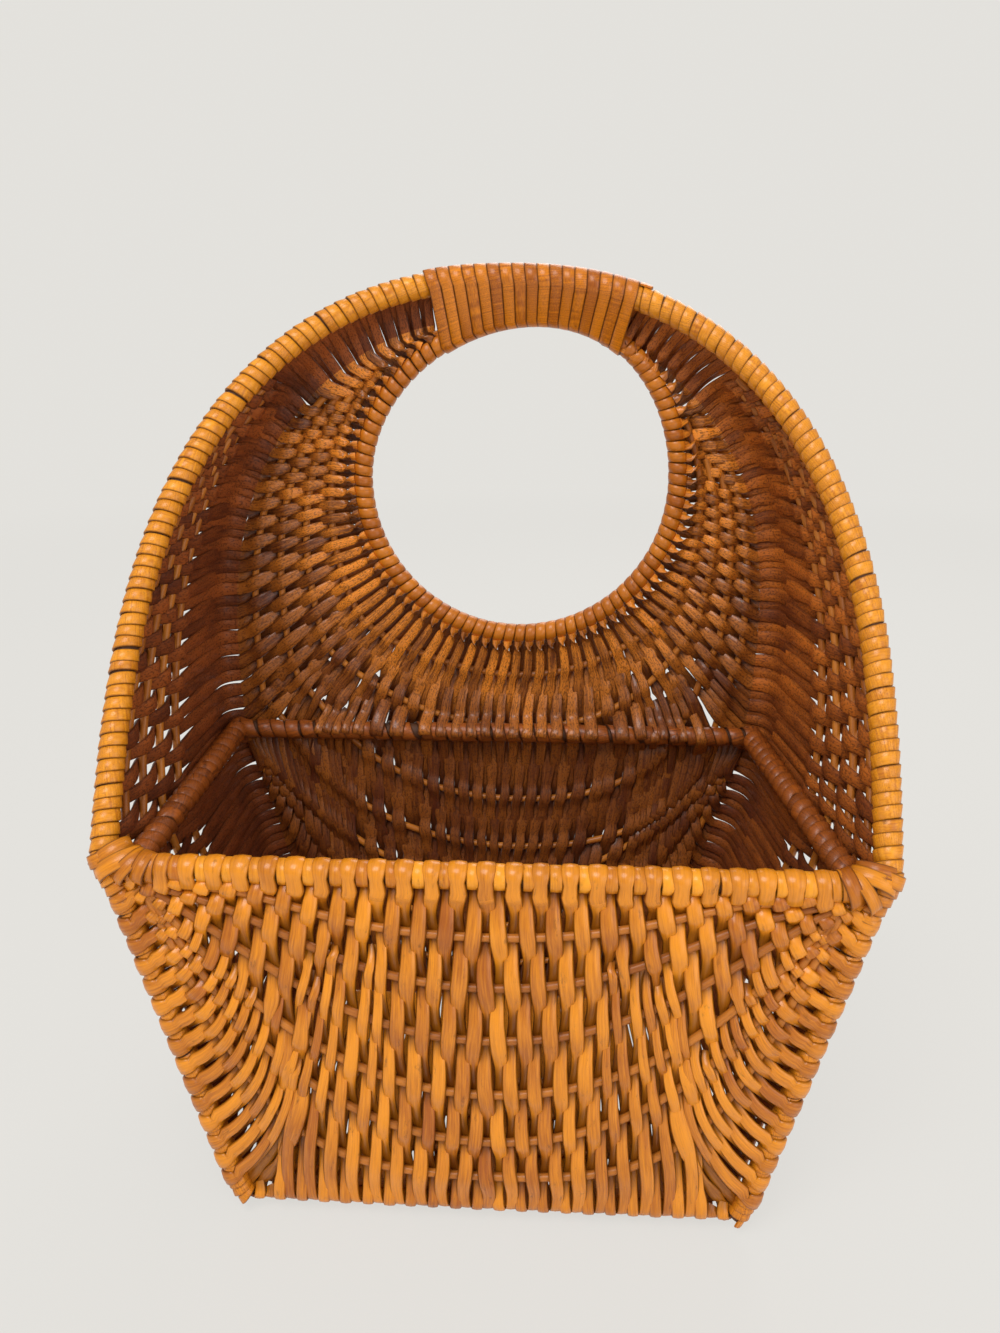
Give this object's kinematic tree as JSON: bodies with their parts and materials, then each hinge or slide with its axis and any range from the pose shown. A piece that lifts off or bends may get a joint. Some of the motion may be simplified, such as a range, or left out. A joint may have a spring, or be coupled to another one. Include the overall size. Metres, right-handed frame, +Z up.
{
  "type": "wall basket",
  "caption": "Woven cane wall basket: a deep pocket on a cane-wrapped hoop that leans back to the wall, with a round hand hole and a bound handle.",
  "frame": {"origin": "where the handle hangs: in the plane of the wall, at the height of the handle's underside and at the middle of the basket's width", "axes": "+Z up, +X to the right of someone who faces the basket, +Y into the wall"},
  "size_m": [0.354, 0.176, 0.4359],
  "materials": {
    "wrapped_cane": "varnished cane skin, honey brown, wrapped closely round a rod",
    "dark_cane": "varnished cane skin, dark brown, wrapped closely round a rod",
    "binding_cane": "flat varnished cane, glossy, honey brown",
    "woven_front": "varnished cane skin, glossy, honey brown with dark streaks",
    "woven_inside": "varnished cane, split side with pores showing",
    "rib": "varnished round cane"
  },
  "bodies": {
    "root": {"hoop": "wrapped_cane", "hand_ring": "wrapped_cane", "front_rim": "wrapped_cane", "back_bar": "dark_cane", "left_side_rod": "dark_cane", "left_front_edge": "wrapped_cane", "left_side_fill": "woven_inside", "left_corner_binding": "binding_cane", "right_side_rod": "dark_cane", "right_front_edge": "wrapped_cane", "right_side_fill": "woven_inside", "right_corner_binding": "binding_cane", "handle_binding": "binding_cane", "front_fill": "woven_front", "back_fill": "woven_inside", "base_fill": "woven_inside", "front_rib_1": "rib", "front_rib_2": "rib", "front_rib_3": "rib", "front_rib_4": "rib", "front_rib_5": "rib", "front_rib_6": "rib", "hole_rib_1": "rib", "hole_rib_2": "rib", "hole_rib_3": "rib", "hole_rib_4": "rib", "lower_back_rib_1": "rib", "lower_back_rib_2": "rib", "lower_back_rib_3": "rib", "cradle_rib_1": "rib", "cradle_rib_2": "rib", "cradle_rib_3": "rib", "cradle_rib_4": "rib"}
  },
  "joints": []
}
